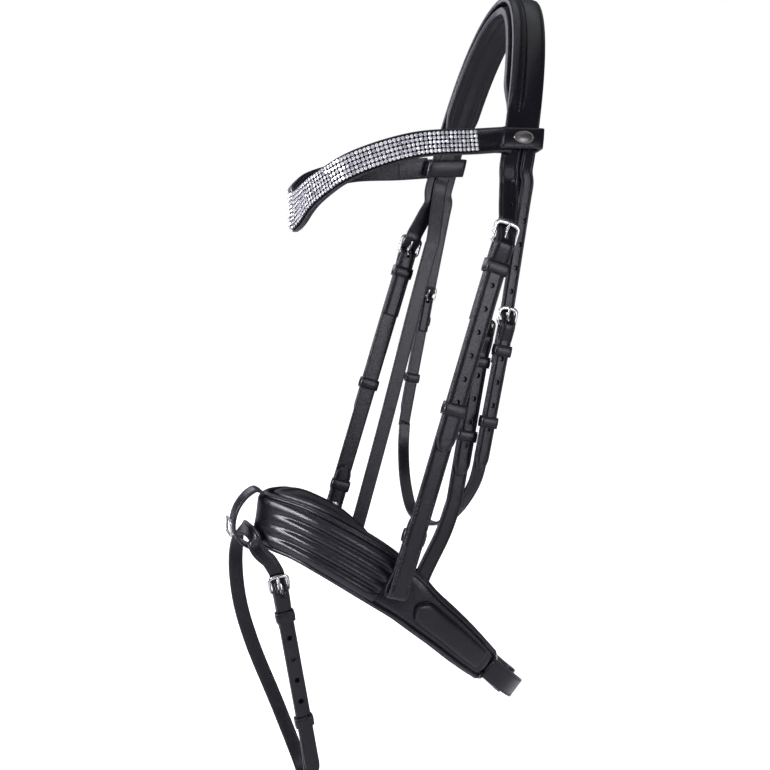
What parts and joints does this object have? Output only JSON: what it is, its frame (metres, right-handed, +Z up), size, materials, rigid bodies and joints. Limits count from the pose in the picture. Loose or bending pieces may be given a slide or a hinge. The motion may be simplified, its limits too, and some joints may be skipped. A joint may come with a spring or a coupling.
{
  "type": "snaffle bridle",
  "caption": "Black leather snaffle bridle: padded headpiece, crystal browband, buckled cheekpieces, throatlash, padded crank noseband and flash strap.",
  "frame": {"origin": "where the horse's poll bears on the headpiece padding, at mid width", "axes": "+Z up, -Y forward towards the muzzle, +X to the horse's left (near side); straps hang as from a hook"},
  "size_m": [0.2246, 0.262, 0.6685],
  "materials": {
    "bridle_leather": "black bridle leather, semi-gloss, fine grain",
    "soft_leather": "soft black padded leather, matt",
    "nickel_steel": "polished nickel-silver colour",
    "crystal": "clear cut stones in silver settings"
  },
  "bodies": {
    "head": {"headpiece": "bridle_leather", "headpiece_padding": "soft_leather", "noseband_headstrap": "bridle_leather", "noseband_hanger": "bridle_leather", "hanger_buckle": "nickel_steel", "hanger_keeper": "bridle_leather"},
    "browband": {"browband": "bridle_leather", "browband_lining": "soft_leather", "browband_crystals": "crystal", "browband_rosettes": "nickel_steel"},
    "cheek_left": {"cheek_billet_left": "bridle_leather", "cheekpiece_left": "bridle_leather", "cheek_buckle_left": "nickel_steel", "cheek_keeper_left": "bridle_leather", "bit_keeper_left": "bridle_leather", "hook_stud_left": "nickel_steel"},
    "cheek_prong_left": {"cheek_prong_left": "nickel_steel"},
    "cheek_runner_left": {"cheek_runner_left": "bridle_leather"},
    "cheek_right": {"cheek_billet_right": "bridle_leather", "cheekpiece_right": "bridle_leather", "cheek_buckle_right": "nickel_steel", "cheek_keeper_right": "bridle_leather", "bit_keeper_right": "bridle_leather", "hook_stud_right": "nickel_steel"},
    "cheek_prong_right": {"cheek_prong_right": "nickel_steel"},
    "cheek_runner_right": {"cheek_runner_right": "bridle_leather"},
    "throat": {"throat_billet_left": "bridle_leather", "throat_billet_right": "bridle_leather", "throatlash": "bridle_leather", "throat_buckle_left": "nickel_steel", "throat_buckle_right": "nickel_steel", "throat_keeper_left": "bridle_leather", "throat_keeper_right": "bridle_leather"},
    "throat_prong_left": {"throat_prong_left": "nickel_steel"},
    "throat_runner_left": {"throat_runner_left": "bridle_leather"},
    "throat_prong_right": {"throat_prong_right": "nickel_steel"},
    "throat_runner_right": {"throat_runner_right": "bridle_leather"},
    "hanger_prong": {"hanger_prong": "nickel_steel"},
    "hanger_runner": {"hanger_runner": "bridle_leather"},
    "noseband": {"noseband": "bridle_leather", "noseband_front_panel": "bridle_leather", "noseband_side_panel_left": "bridle_leather", "noseband_side_panel_right": "bridle_leather", "noseband_lining": "soft_leather", "end_ring_left": "nickel_steel", "end_ring_right": "nickel_steel", "crank_strap": "bridle_leather", "crank_chape": "bridle_leather", "crank_buckle": "nickel_steel", "chin_pad": "soft_leather", "flash_tab": "bridle_leather", "flash_tab_dee": "nickel_steel"},
    "crank_prong": {"crank_prong": "nickel_steel"},
    "crank_runner": {"crank_runner": "bridle_leather"},
    "flash": {"flash_strap": "bridle_leather", "flash_buckle": "nickel_steel", "flash_keeper": "bridle_leather"},
    "flash_prong": {"flash_prong": "nickel_steel"},
    "flash_runner": {"flash_runner": "bridle_leather"}
  },
  "joints": [
    {"name": "browband_swing", "type": "hinge", "parent": "head", "child": "browband", "pos_m": [0, -0.03115, -0.11405], "axis": [0.999, -0.045, 0], "range_deg": [-4, 4], "stiffness_Nm_per_rad": 0.5},
    {"name": "cheek_swing_left", "type": "hinge", "parent": "head", "child": "cheek_left", "pos_m": [0.09288, -0.04611, -0.14599], "axis": [1, 0, 0], "range_deg": [-6, 6], "stiffness_Nm_per_rad": 0.05},
    {"name": "cheek_prong_left", "type": "hinge", "parent": "cheek_left", "child": "cheek_prong_left", "pos_m": [0.106, -0.057, -0.193], "axis": [0, 0.9542, -0.299], "range_deg": [0, 12]},
    {"name": "cheek_runner_left", "type": "slide", "parent": "cheek_left", "child": "cheek_runner_left", "axis": [0, 0.299, 0.9542], "range_m": [-0.012, 0.012]},
    {"name": "cheek_swing_right", "type": "hinge", "parent": "head", "child": "cheek_right", "pos_m": [-0.09288, -0.0378, -0.14599], "axis": [1, 0, 0], "range_deg": [-6, 6], "stiffness_Nm_per_rad": 0.05},
    {"name": "cheek_prong_right", "type": "hinge", "parent": "cheek_right", "child": "cheek_prong_right", "pos_m": [-0.106, -0.057, -0.193], "axis": [0, -0.9542, 0.299], "range_deg": [0, 12]},
    {"name": "cheek_runner_right", "type": "slide", "parent": "cheek_right", "child": "cheek_runner_right", "axis": [0, 0.299, 0.9542], "range_m": [-0.012, 0.012]},
    {"name": "throatlash_swing", "type": "hinge", "parent": "head", "child": "throat", "pos_m": [0, -0.02696, -0.14599], "axis": [0.999, -0.0449, 0], "range_deg": [0, 12], "stiffness_Nm_per_rad": 0.05},
    {"name": "throat_prong_left", "type": "hinge", "parent": "throat", "child": "throat_prong_left", "pos_m": [0.0964, -0.049, -0.253], "axis": [0, 0.9816, -0.1908], "range_deg": [0, 12]},
    {"name": "throat_runner_left", "type": "slide", "parent": "throat", "child": "throat_runner_left", "axis": [0, 0.1908, 0.9816], "range_m": [-0.01, 0.01]},
    {"name": "throat_prong_right", "type": "hinge", "parent": "throat", "child": "throat_prong_right", "pos_m": [-0.0964, -0.041, -0.236], "axis": [0, -0.9816, 0.1908], "range_deg": [0, 12]},
    {"name": "throat_runner_right", "type": "slide", "parent": "throat", "child": "throat_runner_right", "axis": [0, 0.1908, 0.9816], "range_m": [-0.01, 0.01]},
    {"name": "hanger_prong", "type": "hinge", "parent": "head", "child": "hanger_prong", "pos_m": [0.087, -0.064, -0.262], "axis": [0, 0.9848, -0.1736], "range_deg": [0, 15]},
    {"name": "hanger_runner", "type": "slide", "parent": "head", "child": "hanger_runner", "axis": [0, 0.1736, 0.9848], "range_m": [-0.012, 0.012]},
    {"name": "noseband_swing", "type": "hinge", "parent": "head", "child": "noseband", "pos_m": [0, -0.115, -0.452], "axis": [1, 0, 0], "range_deg": [-4, 8], "stiffness_Nm_per_rad": 1},
    {"name": "crank_prong", "type": "hinge", "parent": "noseband", "child": "crank_prong", "pos_m": [-0.006, -0.00172, -0.57295], "axis": [0, 0.65, 0.76], "range_deg": [0, 15]},
    {"name": "crank_runner", "type": "slide", "parent": "noseband", "child": "crank_runner", "axis": [1, 0, 0], "range_m": [-0.004, 0]},
    {"name": "flash_swing", "type": "hinge", "parent": "noseband", "child": "flash", "pos_m": [0, -0.231, -0.411], "axis": [1, 0, 0], "range_deg": [-15, 1], "stiffness_Nm_per_rad": 0.05},
    {"name": "flash_prong", "type": "hinge", "parent": "flash", "child": "flash_prong", "pos_m": [0.026, -0.21, -0.466], "axis": [0, 0.9863, 0.165], "range_deg": [0, 15]},
    {"name": "flash_runner", "type": "slide", "parent": "flash", "child": "flash_runner", "axis": [0, -0.165, 0.9863], "range_m": [-0.012, 0.012]}
  ]
}
